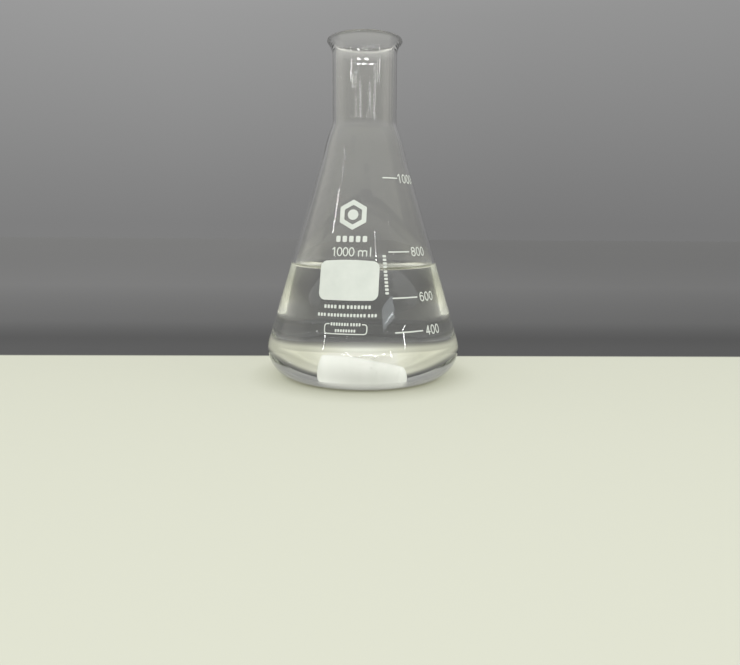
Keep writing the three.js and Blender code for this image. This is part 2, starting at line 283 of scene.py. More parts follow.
# Soft glows at the sides, which the edges of the glass pick up: direction and strength
GLOWS = (
    ((-0.941, 0.217, 0.259), 0.6),
    ((0.951, 0.168, 0.259), 0.15),
)
GLOW_EDGE = (0.89, 0.99)  # cosine of the angle from there: none at the first, full at the second
GLOW_TINT = (1.0, 0.98, 0.88)

# --- Lamps: azimuth from -Y and elevation in degrees, seen from a point on the flask's axis ---

LAMP_TARGET = Vector((0, 0, 0.1))
SOFTBOX_DISTANCE = 1.5
LAMP_DISTANCE = 1.3
# Soft boxes that light the enamel and the stage and aren't mirrored in the glass: azimuth, elevation,
# width, height, radiance
SOFTBOXES = {
    "softbox": (-25, 58, 1.0, 0.9, 3.0),
    "fill_right": (70, 35, 0.8, 0.8, 1.3),
}
# Windows and their frames: azimuth, elevation, width, height, radiance, colour
WINDOWS = {
    "window_left": (-60.5, 29.8, 0.014, 0.11, 60, WHITE),
    "window_glint_0": (-59.5, 35.2, 0.010, 0.012, 60, WHITE),
    "window_glint_1": (-57.7, 34.5, 0.010, 0.012, 60, WHITE),
    "window_glint_2": (-56.8, 33.5, 0.010, 0.012, 60, WHITE),
    "window_right": (20, 28.5, 0.012, 0.14, 40, WHITE),
    "window_pane": (33, 21.6, 0.36, 0.06, 2.6, (0.86, 0.95, 1.0)),
    "window_sill": (34, 20.9, 0.26, 0.005, 9, (0.9, 0.97, 1.0)),
}
# Upright tubes that make the streaks down the neck: azimuth, elevation, width, length
TUBES = (
    (-49, 16.5, 0.018, 0.05),
    (-18, 13.8, 0.018, 0.07),
    (16.5, 13.8, 0.018, 0.065),
    (32, 13.8, 0.022, 0.15),
    (50.5, 16.4, 0.03, 0.045),
)
TUBE_RADIANCE = 34
# Level strips that cross those streaks: azimuth, width
STRIPS = ((-21, 0.12), (5, 0.24), (52, 0.10))
STRIP_ELEVATION = 17.6
STRIP_HEIGHT = 0.004
STRIP_RADIANCE = 30
# Two rows of dashes, one over and one under the streaks: the first azimuth and the elevation
DASH_ROWS = {"high_dot": (-24, 17.1), "low_dot": (-28, 11.9)}
DASH_COUNT = 6
DASH_PITCH = 9.5
DASH_SIZE = (0.08, 0.0035)
DASH_RADIANCE = 40


# --- Node helpers ---

def grey(value):
    return (value, value, value)


class Nodes:
    """A short way to write a node tree."""

    def __init__(self, tree):
        self.tree = tree
        tree.nodes.clear()

    def add(self, kind, values=None, **settings):
        node = self.tree.nodes.new(kind)
        for key, value in settings.items():
            setattr(node, key, value)
        for key, value in (values or {}).items():
            if isinstance(value, bpy.types.NodeSocket):
                self.tree.links.new(value, node.inputs[key])
            else:
                node.inputs[key].default_value = value
        return node

    def ramp(self, value, stops):
        """A colour ramp with (position, colour) stops."""
        node = self.add("ShaderNodeValToRGB", {"Fac": value})
        elements = node.color_ramp.elements
        while len(elements) < len(stops):
            elements.new(0.5)
        for element, (position, colour) in zip(elements, stops):
            element.position = position
            element.color = (*colour, 1)
        return node.outputs["Color"]

    def grey_ramp(self, value, stops):
        return self.ramp(value, [(position, grey(level)) for position, level in stops])

    def between(self, value, start, end, low=0.0, high=1.0, kind="LINEAR"):
        """low where the value is start, high where it is end, and neither less nor more beyond them."""
        limits = {0: value, 1: start, 2: end, 3: low, 4: high}
        return self.add("ShaderNodeMapRange", limits, interpolation_type=kind).outputs[0]

    def maths(self, operation, *values):
        return self.add("ShaderNodeMath", dict(enumerate(values)), operation=operation).outputs[0]

    def vectors(self, operation, *values, output="Vector"):
        node = self.add("ShaderNodeVectorMath", dict(enumerate(values)), operation=operation)
        return node.outputs[output]

    def mixed(self, share, a, b, blend="MIX"):
        node = self.add("ShaderNodeMix", {"Factor": share, "A": a, "B": b},
                        data_type="RGBA", blend_type=blend)
        return node.outputs["Result"]

    def noise(self, place, scale, detail, roughness):
        values = {"Scale": scale, "Detail": detail, "Roughness": roughness, "Vector": place}
        return self.add("ShaderNodeTexNoise", values).outputs["Fac"]

    def bump(self, height, strength, distance):
        values = {"Strength": strength, "Distance": distance, "Height": height}
        return self.add("ShaderNodeBump", values).outputs[0]

    def place(self, kind="Object"):
        return self.add("ShaderNodeTexCoord").outputs[kind]

    def surface(self, **values):
        """A Principled surface as the output, with its inputs under short names."""
        names = {"colour": "Base Color", "roughness": "Roughness", "ior": "IOR", "normal": "Normal",
                 "metallic": "Metallic", "specular": "Specular IOR Level"}
        body = self.add("ShaderNodeBsdfPrincipled", {names[key]: value for key, value in values.items()})
        self.add("ShaderNodeOutputMaterial", {"Surface": body.outputs[0]})


def material(name):
    made = bpy.data.materials.new(name)
    made.use_nodes = True
    return made, Nodes(made.node_tree)


# --- Material functions ---

def clear_material(name, ior, tint=WHITE, shade=WHITE, roughness=0.0, leaving_ior=None):
    """Glass or water. Lamps and light bounced by what is behind it go straight through, tinted by shade.

    leaving_ior, if given, takes the place of ior for what goes out through the surface from inside.
    """
    made, nodes = material(name)
    if leaving_ior is not None:
        leaving = nodes.add("ShaderNodeNewGeometry").outputs["Backfacing"]
        ior = nodes.between(leaving, 0.0, 1.0, ior, leaving_ior)
    body = nodes.add("ShaderNodeBsdfPrincipled", {
        "Base Color": (*tint, 1), "Roughness": roughness, "IOR": ior, "Transmission Weight": 1.0})
    straight = nodes.add("ShaderNodeBsdfTransparent", {"Color": (*shade, 1)})
    path = nodes.add("ShaderNodeLightPath")
    bounced = nodes.add("ShaderNodeMixShader", {
        0: path.outputs["Is Diffuse Ray"], 1: body.outputs[0], 2: straight.outputs[0]})
    lamps = nodes.add("ShaderNodeMixShader", {
        0: path.outputs["Is Shadow Ray"], 1: bounced.outputs[0], 2: straight.outputs[0]})
    nodes.add("ShaderNodeOutputMaterial", {"Surface": lamps.outputs[0]})
    return made


def glass_materials():
    """Bare glass, glass that water wets, the rubbed foot and the dry glass over the water, in slot order.

    What goes out through the rubbed foot keeps straight on, so it mirrors nothing inside.
    """
    return [
        clear_material("borosilicate_glass", GLASS_IOR, GLASS_TINT, GLASS_SHADE),
        clear_material("wet_glass", GLASS_IOR / WATER_IOR, GLASS_TINT, GLASS_SHADE),
        clear_material("foot_glass", GLASS_IOR, GLASS_TINT, GLASS_SHADE, FOOT_ROUGHNESS, leaving_ior=1.0),
        clear_material("dry_glass", GLASS_IOR, DRY_TINT, GLASS_SHADE),
    ]


def water_materials():
    """The water's surface, and its side, where the wet glass already bends the light."""
    return [clear_material("water_surface", WATER_IOR), clear_material("water_in_glass", 1.0)]


def enamel_material():
    """Fired white enamel: matt, with the fine grain of a screen print."""
    made, nodes = material("white_enamel")
    place = nodes.place()
    cloud = nodes.noise(place, scale=90.0, detail=3.0, roughness=0.6)
    colour = nodes.ramp(cloud, [(0.3, (0.60, 0.635, 0.60)), (0.7, (0.66, 0.69, 0.655))])
    grain = nodes.noise(place, scale=2600.0, detail=2.0, roughness=0.6)
    bump = nodes.bump(grain, strength=0.12, distance=0.00003)
    rough = nodes.maths("MULTIPLY_ADD", cloud, 0.2, 0.4)
    nodes.surface(colour=colour, roughness=rough, ior=1.5, normal=bump)
    return made


def ptfe_material():
    """White PTFE under water: hardly any gloss, small dark specks and faint scuffs round the bar."""
    made, nodes = material("ptfe")
    place = nodes.place()
    cloud = nodes.noise(place, scale=160.0, detail=3.0, roughness=0.6)
    colour = nodes.ramp(cloud, [(0.3, (0.85, 0.87, 0.84)), (0.7, (0.92, 0.93, 0.91))])
    specks = nodes.noise(place, scale=900.0, detail=1.0, roughness=0.5)
    dark = nodes.grey_ramp(specks, [(0.74, 0.0), (0.78, 1.0)])
    speckled = nodes.mixed(dark, colour, (0.34, 0.35, 0.34, 1))
    bump = nodes.bump(specks, strength=0.2, distance=0.00005)
    nodes.surface(colour=speckled, roughness=0.45, ior=1.1, normal=bump)
    return made


def magnet_material():
    made, nodes = material("magnet")
    grain = nodes.noise(nodes.place(), scale=1200.0, detail=3.0, roughness=0.6)
    colour = nodes.grey_ramp(grain, [(0.3, 0.05), (0.7, 0.12)])
    nodes.surface(colour=colour, metallic=1.0, roughness=0.45)
    return made


# --- Profiles: (radius, z) points ---

def arc(centre_r, centre_z, radius, start, end, steps):
    return [(centre_r + radius * math.cos(a), centre_z + radius * math.sin(a))
            for a in np.linspace(start, end, steps + 1)]


def spaced(start, end, step):
    """Evenly spaced values after start, up to and with end."""
    count = max(1, math.ceil(abs(end - start) / step))
    return [start + (end - start) * (i + 1) / count for i in range(count)]


def eased(value, start, end):
    """0 at start, 1 at end, and a smooth step between."""
    t = min(max((value - start) / (end - start), 0.0), 1.0)
    return t * t * (3 - 2 * t)


def cone_radius(z, inset=0.0):
    return (CONE_REACH - inset - z * CONE_SIN) / CONE_COS


def fullness(z):
    """How far the shoulder stands out from the cone, just under the neck."""
    t = (z - SHOULDER_START_Z) / (SHOULDER_END_Z - SHOULDER_START_Z)
    return SHOULDER_FULLNESS * math.sin(math.pi * t**SHOULDER_SKEW) ** 2 if 0 < t < 1 else 0.0


def neck_fillet(neck_radius, inset):
    """The hollow fillet where a cone inset from the outside runs into a neck of this radius."""
    radius = NECK_FILLET + inset
    centre_r = neck_radius + radius
    centre_z = (CONE_REACH - inset + radius - centre_r * CONE_COS) / CONE_SIN
    return arc(centre_r, centre_z, radius, math.pi + CONE_HALF_ANGLE, math.pi, FILLET_STEPS)


def inner_heel(inset):
    radius = INNER_HEEL_RADIUS - inset
    z = FLOOR_Z + inset + radius
    r = (CONE_REACH - WALL - inset - radius - z * CONE_SIN) / CONE_COS
    return arc(r, z, radius, -math.pi / 2, CONE_HALF_ANGLE, INNER_HEEL_STEPS)


def flare(neck_radius, radius, lip_side):
    """Centre and radius of the flare from a neck to the lip, and the angle where it meets the lip's bead.

    lip_side is the bead's radius, and less than 0 where the bead lies on the flare's inner side.
    """
    centre_r = neck_radius + radius
    centre_z = LIP_CENTRE_Z - math.sqrt((radius + lip_side) ** 2 - (centre_r - LIP_CENTRE_R) ** 2)
    end = math.atan2(LIP_CENTRE_Z - centre_z, LIP_CENTRE_R - centre_r)
    return centre_r, centre_z, radius, end


def outer_flare():
    return flare(NECK_RADIUS, FLARE_RADIUS, LIP_RADIUS)


def inner_flare():
    return flare(BORE_RADIUS, FLARE_RADIUS + 2 * LIP_RADIUS, -LIP_RADIUS)


def glass_outside():
    heel = arc(FOOT_RADIUS, HEEL_RADIUS, HEEL_RADIUS, -math.pi / 2, CONE_HALF_ANGLE, HEEL_STEPS)
    fillet = neck_fillet(NECK_RADIUS, 0)
    flare_r, flare_z, flare_radius, flare_end = outer_flare()
    lip_end = inner_flare()[3]
    underside = spaced(0, PUSH_UP_RADIUS, UNDERSIDE_STEP)
    return [
        (0.0, PUSH_UP),
        *[(r, PUSH_UP * (1 - (r / PUSH_UP_RADIUS) ** 2)) for r in underside],
        *heel,
        *[(cone_radius(z), z) for z in spaced(heel[-1][1], fillet[0][1], ROW_STEP)[:-1]],
        *fillet,
        *[(NECK_RADIUS, z) for z in spaced(fillet[-1][1], flare_z, ROW_STEP)[:-1]],
        *arc(flare_r, flare_z, flare_radius, math.pi, flare_end, FLARE_STEPS),
        *arc(LIP_CENTRE_R, LIP_CENTRE_Z, LIP_RADIUS, flare_end - math.pi, lip_end, LIP_STEPS)[1:],
    ]


def glass_inside():
    heel = inner_heel(0)
    fillet = neck_fillet(BORE_RADIUS, WALL)
    flare_r, flare_z, flare_radius, flare_end = inner_flare()
    cone = spaced(heel[-1][1], WET_Z, ROW_STEP) + spaced(WET_Z, fillet[0][1], ROW_STEP)[:-1]
    return [
        (0.0, FLOOR_Z),
        *[(r, FLOOR_Z) for r in spaced(0, heel[0][0], FLOOR_STEP)[:-1]],
        *heel,
        *[(cone_radius(z, WALL), z) for z in cone],
        *fillet,
        *[(BORE_RADIUS, z) for z in spaced(fillet[-1][1], flare_z, ROW_STEP)[:-1]],
        *arc(flare_r, flare_z, flare_radius, math.pi, flare_end, FLARE_STEPS)[:-1],
    ]


def water_top():
    """The water's surface from the axis to the glass, turned up at its edge."""
    edge = cone_radius(WET_Z, WALL) + WATER_EDGE_SUNK

    def back(slope):
        """How far from its edge a meniscus has this slope."""
        return -CAPILLARY_LENGTH * (math.log(math.tan(slope / 4)) + 2 * math.cos(slope / 2))

    def rise(slope):
        return 2 * CAPILLARY_LENGTH * math.sin(slope / 2)

    slopes = MENISCUS_SLOPE * np.linspace(MENISCUS_FIRST, 1, MENISCUS_ROWS) ** MENISCUS_CROWDING
    curl = [(edge - back(slope) + back(MENISCUS_SLOPE), WATER_Z + rise(slope)) for slope in slopes]
    flat = [(r, WATER_Z) for r in spaced(0, curl[0][0] - MENISCUS_LEAD, WATER_TOP_STEP)]
    return [(0.0, WATER_Z), *flat, *curl]


def water_side():
    """The water's bottom and side from the axis up, a hair inside the glass."""
    heel = inner_heel(WATER_GAP)
    bottom = FLOOR_Z + WATER_GAP
    wall = spaced(heel[-1][1], WATER_SIDE_TOP, WATER_ROW_STEP)
    return [
        (0.0, bottom),
        *[(r, bottom) for r in spaced(0, heel[0][0], WATER_BOTTOM_STEP)[:-1]],
        *heel,
        *[(cone_radius(z, WALL + WATER_GAP), z) for z in wall],
    ]


# --- Meshes ---

def mesh_object(name, vertices, faces, materials, rounded=True):
    """An object from vertices in millimetres, with its material slots in order."""
    mesh = bpy.data.meshes.new(name)
    mesh.from_pydata([tuple(MM * c for c in v) for v in vertices], [], faces)
    mesh.validate()
    for made in materials:
        mesh.materials.append(made)
    mesh.polygons.foreach_set("use_smooth", [rounded] * len(mesh.polygons))
    made = bpy.data.objects.new(name, mesh)
    bpy.context.scene.collection.objects.link(made)
    return made


def lathe(name, profile, materials, steps, slot_of=lambda row: 0, sway=lambda row, angle: 0.0):
    """A closed body turned about Z from a profile that starts and ends on the axis.

    slot_of(row) is the material slot of the faces between that row and the next, and
    sway(row, angle) is how far a row's points stand out at that angle.
    """
    inner = profile[1:-1]
    rows = len(inner)
    angles = [2 * math.pi * j / steps for j in range(steps)]
    vertices = []
    for i, (r, z) in enumerate(inner):
        for angle in angles:
            reach = r + sway(i + 1, angle)
            vertices.append((reach * math.cos(angle), reach * math.sin(angle), z))
    first = len(vertices)
    last = first + 1
    vertices += [(0.0, 0.0, profile[0][1]), (0.0, 0.0, profile[-1][1])]
    faces = []
    slots = []
    for j in range(steps):
        k = (j + 1) % steps
        faces.append((first, k, j))
        slots.append(slot_of(0))
        for i in range(rows - 1):
            faces.append((i * steps + j, i * steps + k, (i + 1) * steps + k, (i + 1) * steps + j))
            slots.append(slot_of(i + 1))
        faces.append((last, (rows - 1) * steps + j, (rows - 1) * steps + k))
        slots.append(slot_of(rows))
    made = mesh_object(name, vertices, faces, materials)
    made.data.polygons.foreach_set("material_index", slots)
    return made


# --- The flask and what it holds ---

class Ripples:
    """Faint waves in a drawn and blown wall: how far it stands out at an angle and height."""

    def __init__(self, seed, amount, fewest, most, count):
        draw = np.random.RandomState(seed)
        self.turns = draw.randint(fewest, most, count)
        self.phase = draw.uniform(0, 2 * math.pi, count)
        self.drift = draw.uniform(-WAVE_DRIFT, WAVE_DRIFT, count)
        self.size = amount / self.turns

    def __call__(self, angle, z):
        return float(np.sum(self.size * np.sin(self.turns * angle + self.phase + self.drift * z)))


def build_flask():
    outside = glass_outside()
    profile = outside + glass_inside()[::-1]
    rows = len(outside)
    streaks = Ripples(*STREAKS)
    waves = Ripples(*BROAD_WAVES)
    lines = Ripples(*FINE_LINES)

    def sway_outside(angle, z):
        """Only the neck ripples: the outside is true where the enamel is printed."""
        neck = eased(z, *IN_NECK) * eased(z, *BELOW_RIM)
        return neck * (STREAKS_OUTSIDE * streaks(angle, z) + lines(angle, z))

    def sway_inside(angle, z):
        fade = eased(z, *ABOVE_HEEL) * eased(z, *BELOW_RIM)
        high = eased(z, *ABOVE_PRINT)
        share = STREAKS_LOW + (1 - STREAKS_LOW) * high
        drawn = share * streaks(angle + STREAKS_TURN, z) + high * lines(angle + LINES_TURN, z)
        return fade * (waves(angle, z) + drawn)

    def sway(row, angle):
        z = profile[row][1]
        return fullness(z) + (sway_outside(angle, z) if row < rows else sway_inside(angle, z))

    def slot_of(row):
        """The slot in glass_materials(): 0 bare, 1 wet, 2 rubbed, 3 dry."""
        r, z = profile[row]
        next_z = profile[row + 1][1]
        if min(z, next_z) > DRY_Z:
            return 3
        if row < rows:
            return 2 if r > PUSH_UP_RADIUS - SLACK and next_z < FOOT_BAND else 0
        return 1 if max(z, next_z) < WET_Z + SLACK else 0

    made = lathe("flask_glass", profile, glass_materials(), TURN_STEPS, slot_of, sway)
    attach(made, "flask")
    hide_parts("flask_body")


def build_water():
    side = water_side()
    profile = side + water_top()[::-1]
    made = lathe("flask_water", profile, water_materials(), TURN_STEPS,
                 lambda row: 1 if row < len(side) else 0)
    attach(made, "flask")
    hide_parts("water")


def bar_middle():
    """The middle of the stirring bar over the flask's floor, in metres, from the frame's boxes."""
    boxes = [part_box(node) for node in ("stir_bar_jacket", "stir_bar_end_plug")]
    low = [min(box[0][axis] for box in boxes) for axis in range(2)]
    high = [max(box[1][axis] for box in boxes) for axis in range(2)]
    return [0.5 * (low[axis] + high[axis]) for axis in range(2)]


def build_stir_bar():
    ptfe = ptfe_material()
    half = BAR_LENGTH / 2
    corner = BAR_RADIUS - BAR_END_RADIUS
    coat_end = half - PLUG_LENGTH
    plug_end = coat_end + SEAM_GAP
    groove_radius = BAR_RADIUS - SEAM_DEPTH
    straight = spaced(-half + BAR_END_RADIUS, coat_end - SEAM_SLOPE, BAR_ROW_STEP)
    coat = lathe("stir_bar_coat", [
        (0.0, -half),
        *arc(corner, -half + BAR_END_RADIUS, BAR_END_RADIUS, -math.pi / 2, 0, BAR_END_STEPS),
        *[(BAR_RADIUS, z) for z in straight],
        (groove_radius, coat_end),
        (0.0, coat_end),
    ], [ptfe], BAR_TURN_STEPS)
    plug = lathe("stir_bar_plug", [
        (0.0, plug_end),
        (groove_radius, plug_end),
        (BAR_RADIUS, plug_end + SEAM_SLOPE),
        *arc(corner, half - BAR_END_RADIUS, BAR_END_RADIUS, 0, math.pi / 2, BAR_END_STEPS),
        (0.0, half),
    ], [ptfe], BAR_TURN_STEPS)
    middle = Matrix.Translation((*bar_middle(), (FLOOR_Z + BAR_RADIUS + BAR_GAP) * MM))
    place = middle @ Matrix.Rotation(BAR_YAW, 4, "Z") @ Matrix.Rotation(math.pi / 2, 4, "Y")
    for piece, node in ((coat, "stir_bar_jacket"), (plug, "stir_bar_end_plug")):
        piece.data.transform(place)
        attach(piece, "stir_bar")
        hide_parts(node)
    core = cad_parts["stir_bar_magnet"]
    core.data.materials.clear()
    core.data.materials.append(magnet_material())


# --- Enamel: flat shapes as signed distances in (u right, v up), then laid on the cone ---

def capsule(u, v, start, end, width):
    """Signed distance to a stroke of this width with round ends."""
    across = end[0] - start[0]
    up = end[1] - start[1]
    length = max(across**2 + up**2, 1e-9)
    t = np.clip(((u - start[0]) * across + (v - start[1]) * up) / length, 0, 1)
    return np.hypot(u - start[0] - t * across, v - start[1] - t * up) - width / 2


def path_stroke(points, width=STROKE):
    return lambda u, v: np.minimum.reduce(
        [capsule(u, v, a, b, width) for a, b in zip(points, points[1:])])


def oval_stroke(centre_v, width, height, start=0.0, end=2 * math.pi):
    angles = np.linspace(start, end, OVAL_STEPS + 1)
    return path_stroke([(width / 2 * math.cos(a), centre_v + height / 2 * math.sin(a)) for a in angles])


def together(*shapes):
    return lambda u, v: np.minimum.reduce([shape(u, v) for shape in shapes])


def moved(shape, across, up=0.0, scale=1.0):
    return lambda u, v: scale * shape((u - across) / scale, (v - up) / scale)


def turned_up(shape):
    """The shape read up the cone: its own right becomes up."""
    return lambda u, v: shape(v, -u)


def rounded_box(width, height, corner):
    def shape(u, v):
        past_u = np.abs(u) - (width / 2 - corner)
        past_v = np.abs(v) - (height / 2 - corner)
        outside = np.hypot(np.maximum(past_u, 0), np.maximum(past_v, 0))
        return outside + np.minimum(np.maximum(past_u, past_v), 0) - corner
    return shape


def crowned(shape, half_width, half_height, crown):
    """The shape with its top edge bowed, so that it is crown lower at its ends than in its middle."""
    def bowed(u, v):
        stretch = 1 + crown / half_height * (u / half_width) ** 2
        return shape(u, np.where(v > 0, v * stretch, v))
    return bowed


def hexagon(radius):
    """A hexagon with a corner at the top."""
    def shape(u, v):
        sides = [np.abs(u * math.cos(a) + v * math.sin(a)) for a in np.radians([0, 60, 120])]
        return np.maximum.reduce(sides) - radius * math.cos(math.pi / 6)
    return shape


def disc(radius):
    return lambda u, v: np.hypot(u, v) - radius


def ring_of(shape, width):
    """The band of this width inside a shape's edge."""
    return lambda u, v: np.abs(shape(u, v) + width / 2) - width / 2


def word_blocks(length, height, words):
    """A row of plain blocks in word-like groups, in place of printed words."""
    count = sum(words)
    units = count + LETTER_GAP * (count - len(words)) + WORD_GAP * (len(words) - 1)
    block = length / units
    one = rounded_box(block, height, BLOCK_CORNER * min(block, height))
    blocks = []
    left = -length / 2
    for word in words:
        for _ in range(word):
            blocks.append(moved(one, left + block / 2))
            left += block * (1 + LETTER_GAP)
        left += block * (WORD_GAP - LETTER_GAP)
    return together(*blocks)


def glyphs():
    """The digits and letters that are printed, each round its own (0, 0)."""
    top = (DIGIT_HEIGHT - STROKE) / 2
    wide = DIGIT_WIDTH - STROKE
    side = wide / 2
    return {
        "0": oval_stroke(0, wide, 2 * top),
        "1": together(path_stroke([(0.35, -top), (0.35, top)]),
                      path_stroke([(-0.95, top - 1), (0.35, top)])),
        "4": path_stroke([(0.6, -top), (0.6, top), (-side, -1.3), (side + 0.1, -1.3)]),
        "6": together(oval_stroke(-top + 1.65, wide, 3.3),
                      oval_stroke(0, wide, 2 * top, math.pi * 0.28, math.pi * 1.08)),
        "8": together(oval_stroke(top - 1.2, wide * 0.86, 2.4), oval_stroke(-top + 1.45, wide, 2.9)),
        "m": together(*[path_stroke([(u, -top), (u, 0.5)]) for u in (-2.6, 0.0, 2.6)],
                      path_stroke([(-2.6, 0.2), (-1.9, 0.75), (-0.9, 0.75), (-0.2, 0.35), (0, -0.2)]),
                      path_stroke([(0, 0.2), (0.75, 0.75), (1.75, 0.75), (2.4, 0.35), (2.6, -0.2)])),
        "l": path_stroke([(0, -top), (0, top)]),
    }


def on_cone(u, v, lift, azimuth, z):
    """The place of a flat point with its (0, 0) at this azimuth in degrees and this height."""
    height = z + v * CONE_COS
    surface = cone_radius(height)
    angle = math.radians(azimuth) + u / surface
    radius = surface + lift * CONE_COS
    return (radius * math.sin(angle), -radius * math.cos(angle), height + lift * CONE_SIN)


def outline_mesh(shape, half_width, half_height, middle, step):
    """The inside of a shape, cut from a square grid: points (u, v), whether each is on the edge, and faces.

    The grid covers the box of this half width and height round (middle, 0).
    """
    across = np.arange(middle - half_width - step, middle + half_width + 2 * step, step)
    up = np.arange(-half_height - step, half_height + 2 * step, step)
    distance = shape(*np.meshgrid(across, up))
    near = step * 1e-3  # a grid point as close as this to the edge counts as inside it
    distance[np.abs(distance) < near] = -near
    points = []
    on_edge = []
    known = {}
    faces = []

    def corner(i, j):
        key = (i, j)
        if key not in known:
            known[key] = len(points)
            points.append((across[i], up[j]))
            on_edge.append(False)
        return known[key]

    def crossing(a, b):
        key = (min(a, b), max(a, b))
        if key not in known:
            (i, j), (k, m) = key
            t = distance[j, i] / (distance[j, i] - distance[m, k])
            known[key] = len(points)
            points.append((across[i] + t * (across[k] - across[i]), up[j] + t * (up[m] - up[j])))
            on_edge.append(True)
        return known[key]

    for j in range(len(up) - 1):
        for i in range(len(across) - 1):
            loop = [(i, j), (i + 1, j), (i + 1, j + 1), (i, j + 1)]
            inside = [distance[b, a] < 0 for a, b in loop]
            if not any(inside):
                continue
            face = []
            for n in range(4):
                if inside[n]:
                    face.append(corner(*loop[n]))
                if inside[n] != inside[(n + 1) % 4]:
                    face.append(crossing(loop[n], loop[(n + 1) % 4]))
            faces.append(face)
    return points, on_edge, faces


class Printer:
    """Fires marks of one enamel on the cone."""

    def __init__(self, enamel):
        self.enamel = enamel
        self.glyphs = glyphs()

    def mark(self, node, shape, half_width, half_height, azimuth, z, step=FINE_GRID, middle=0.0):
        """One fired mark, closed, with its edge rounded down to the glass."""
        points, on_edge, flat = outline_mesh(shape, half_width, half_height, middle, step)
        count = len(points)
        front = [on_cone(u, v, ENAMEL_PROUD * (EDGE_SHARE if edge else 1.0), azimuth, z)
                 for (u, v), edge in zip(points, on_edge)]
        back = [on_cone(u, v, -ENAMEL_SUNK, azimuth, z) for u, v in points]
        faces = flat + [[count + n for n in reversed(face)] for face in flat]
        sides = set()
        for face in flat:
            sides.update(zip(face, face[1:] + face[:1]))
        faces += [[b, a, count + a, count + b] for a, b in sorted(sides) if (b, a) not in sides]
        made = mesh_object(node + "_enamel", front + back, faces, [self.enamel], rounded=False)
        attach(made, "flask")
        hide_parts(node)

    def glyph(self, node, character, across, azimuth, z, scale=1.0):
        reach = WIDE_GLYPH_REACH if character == "m" else GLYPH_REACH
        shape = moved(self.glyphs[character], across, scale=scale)
        self.mark(node, shape, scale * reach, scale * (DIGIT_HEIGHT / 2 + GLYPH_MARGIN), azimuth, z,
                  middle=across)

    def panel(self):
        half_width = PANEL["width"] / 2
        half_height = PANEL["height"] / 2
        box = rounded_box(PANEL["width"], PANEL["height"], PANEL["corner"])
        shape = crowned(box, half_width, half_height, PANEL["crown"])
        self.mark("writing_panel", shape, half_width, half_height, PANEL["azimuth"], PANEL["z"], PANEL_GRID)

    def graduations(self):
        for volume, z, azimuth, length, number in GRADUATIONS:
            line = moved(rounded_box(length, LINE_WIDTH, LINE_CORNER), length / 2)
            self.mark(f"graduation_line_{volume}", line, length / 2, LINE_REACH, azimuth, z,
                      middle=length / 2)
            for i, character in enumerate(str(volume)):
                across = DIGIT_WIDTH / 2 + i * DIGIT_PITCH
                self.glyph(f"number_{volume}_digit_{i + 1}", character, across, number, z)

    def capacity(self):
        for i, (character, across) in enumerate(zip(CAPACITY["text"], CAPACITY["centres"])):
            self.glyph(f"capacity_mark_{i + 1}", character, across, CAPACITY["azimuth"], CAPACITY["z"],
                       CAPACITY["scale"])

    def emblem(self):
        azimuth = EMBLEM["azimuth"]
        z = EMBLEM["z"]
        radius = EMBLEM["radius"]
        dot = EMBLEM["dot"]
        ring = ring_of(hexagon(radius), EMBLEM["stroke"])
        self.mark("emblem_hexagon", ring, radius, radius, azimuth, z, HEXAGON_GRID)
        self.mark("emblem_dot", disc(dot), dot, dot, azimuth, z, DOT_GRID)

    def word_rows(self):
        for node, (azimuth, z, length, height, words) in WORD_ROWS.items():
            self.mark(node, word_blocks(length, height, words), length / 2, height / 2, azimuth, z)
        azimuth, z, length, height, words = NOTE_ROW
        note = turned_up(word_blocks(length, height, words))
        self.mark("note_bar", note, height / 2, length / 2, azimuth, z)

    def bracket(self):
        """The bracket round the code line: closed below, with short arms turned in over it at the top."""
        edge = BRACKET["width"] / 2
        half = BRACKET["height"] / 2
        corner = BRACKET["corner"]
        right = [
            (edge - BRACKET["reach"], half),
            *arc(edge - corner, half - corner, corner, math.pi / 2, 0, CORNER_STEPS),
            *arc(edge - corner, corner - half, corner, 0, -math.pi / 2, CORNER_STEPS),
        ]
        left = [(-u, v) for u, v in reversed(right)]
        shape = path_stroke(right + left, BRACKET["stroke"])
        self.mark("code_bracket", shape, edge + BRACKET_MARGIN, half + BRACKET_MARGIN,
                  BRACKET["azimuth"], BRACKET["z"])


def print_marks():
    printer = Printer(enamel_material())
    printer.panel()
    printer.graduations()
    printer.capacity()
    printer.emblem()
    printer.word_rows()
    printer.bracket()


# --- Camera, stage and light ---

def add_camera():
    """Stands 0.44 m in front of the flask, a little left, and looks slightly down."""
    data = bpy.data.cameras.new("camera")
    data.lens = CAMERA_LENS
    data.sensor_width = CAMERA_SENSOR
    data.clip_start = CAMERA_NEAR
    level = math.cos(CAMERA_PITCH)
    forward = Vector((
        math.sin(CAMERA_YAW) * level, math.cos(CAMERA_YAW) * level, -math.sin(CAMERA_PITCH)))
    level_right = forward.cross(Vector((0, 0, 1))).normalized()
    level_up = level_right.cross(forward)
    right = level_right * math.cos(CAMERA_ROLL) + level_up * math.sin(CAMERA_ROLL)
    up = level_up * math.cos(CAMERA_ROLL) - level_right * math.sin(CAMERA_ROLL)
    turn = Matrix((right, up, -forward)).transposed()
    made = bpy.data.objects.new("camera", data)
    made.matrix_world = Matrix.Translation(CAMERA_PLACE) @ turn.to_4x4()
    bpy.context.scene.collection.objects.link(made)
    bpy.context.scene.camera = made


def backdrop_colour(nodes, across, depth):
    """The plain grey behind the flask, a little lighter to the left."""
    share = nodes.maths("MULTIPLY", depth, 1 / BACKDROP_DEPTH)
    greys = nodes.grey_ramp(share, BACKDROP_GREYS)
    sideways = nodes.between(across, *BACKDROP_SIDEWAYS)
    return nodes.vectors("MULTIPLY", nodes.vectors("MULTIPLY", greys, sideways), BACKDROP_TINT)


